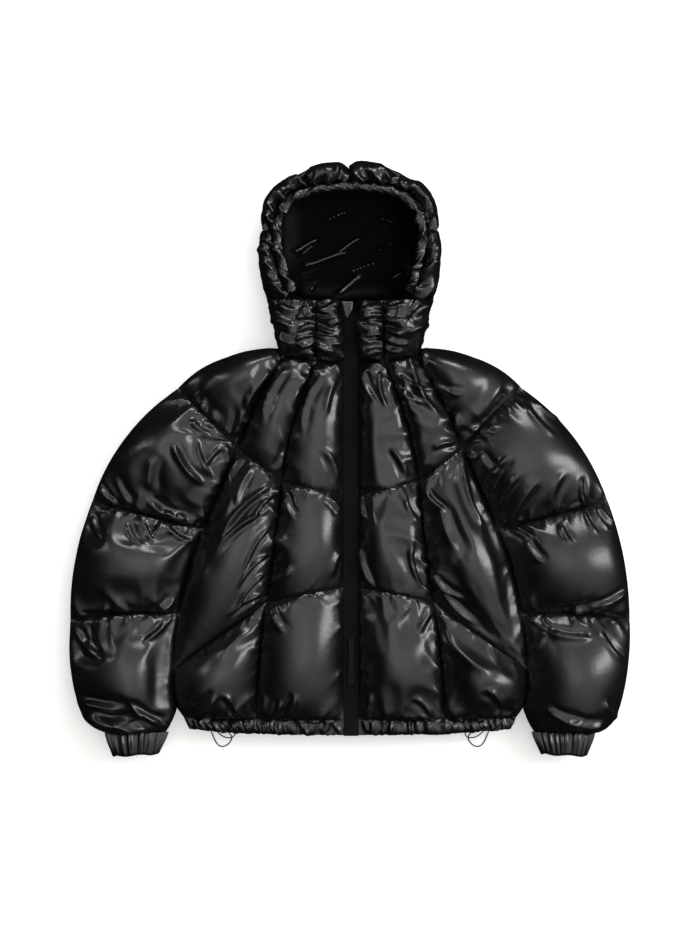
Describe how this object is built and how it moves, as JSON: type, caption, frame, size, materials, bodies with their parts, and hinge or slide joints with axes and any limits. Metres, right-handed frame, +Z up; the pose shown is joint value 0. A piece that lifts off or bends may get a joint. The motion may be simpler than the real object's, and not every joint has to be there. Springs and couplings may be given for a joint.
{
  "type": "hooded puffer jacket",
  "caption": "Cropped, boxy black puffer jacket with a hood, zipped shut and lying flat on its back, with radiating quilted panels, full sleeves and gathered cuffs and hem.",
  "frame": {"origin": "on the surface the jacket lies on, under the middle of its outline", "axes": "+X towards the wearer's left sleeve, +Y towards the top of the hood, +Z up, out of the jacket's front"},
  "size_m": [0.9534, 1.0061, 0.1078],
  "materials": {
    "shell_nylon": "glossy coated",
    "zip_tape": "matte",
    "zip_metal": "satin black",
    "elastic_cord": "matte"
  },
  "bodies": {
    "jacket": {"back_chest": "shell_nylon", "back_hem_band": "shell_nylon", "back_lower": "shell_nylon", "back_shoulder_left": "shell_nylon", "back_shoulder_right": "shell_nylon", "back_yoke": "shell_nylon", "chest_centre_left": "shell_nylon", "chest_centre_right": "shell_nylon", "chest_side_left": "shell_nylon", "chest_side_right": "shell_nylon", "chin_flap": "shell_nylon", "collar_centre_left": "shell_nylon", "collar_centre_right": "shell_nylon", "collar_outer_left": "shell_nylon", "collar_outer_right": "shell_nylon", "cuff_back_left": "shell_nylon", "cuff_back_right": "shell_nylon", "cuff_front_left": "shell_nylon", "cuff_front_right": "shell_nylon", "hem_band_left": "shell_nylon", "hem_band_right": "shell_nylon", "hem_cord_left": "elastic_cord", "hem_cord_right": "elastic_cord", "hood_back": "shell_nylon", "hood_cheek_left": "shell_nylon", "hood_cheek_right": "shell_nylon", "hood_cord_left": "elastic_cord", "hood_cord_right": "elastic_cord", "hood_crown_left": "shell_nylon", "hood_crown_right": "shell_nylon", "hood_rim_left": "shell_nylon", "hood_rim_right": "shell_nylon", "hood_temple_left": "shell_nylon", "hood_temple_right": "shell_nylon", "lower_centre_left": "shell_nylon", "lower_centre_right": "shell_nylon", "lower_side_left": "shell_nylon", "lower_side_right": "shell_nylon", "shoulder_left": "shell_nylon", "shoulder_right": "shell_nylon", "sleeve_lower_back_left": "shell_nylon", "sleeve_lower_back_right": "shell_nylon", "sleeve_lower_front_left": "shell_nylon", "sleeve_lower_front_right": "shell_nylon", "sleeve_middle_back_left": "shell_nylon", "sleeve_middle_back_right": "shell_nylon", "sleeve_middle_front_left": "shell_nylon", "sleeve_middle_front_right": "shell_nylon", "sleeve_upper_back_left": "shell_nylon", "sleeve_upper_back_right": "shell_nylon", "sleeve_upper_front_left": "shell_nylon", "sleeve_upper_front_right": "shell_nylon", "yoke_centre_left": "shell_nylon", "yoke_centre_right": "shell_nylon", "yoke_middle_left": "shell_nylon", "yoke_middle_right": "shell_nylon", "zip_slider": "zip_metal", "zip_tape": "zip_tape"},
    "pull": {"zip_pull": "zip_metal"}
  },
  "joints": [
    {"name": "pull_swing", "type": "hinge", "parent": "jacket", "child": "pull", "pos_m": [0.002, -0.365, 0.0635], "axis": [1, 0, 0], "range_deg": [0, 165]}
  ]
}
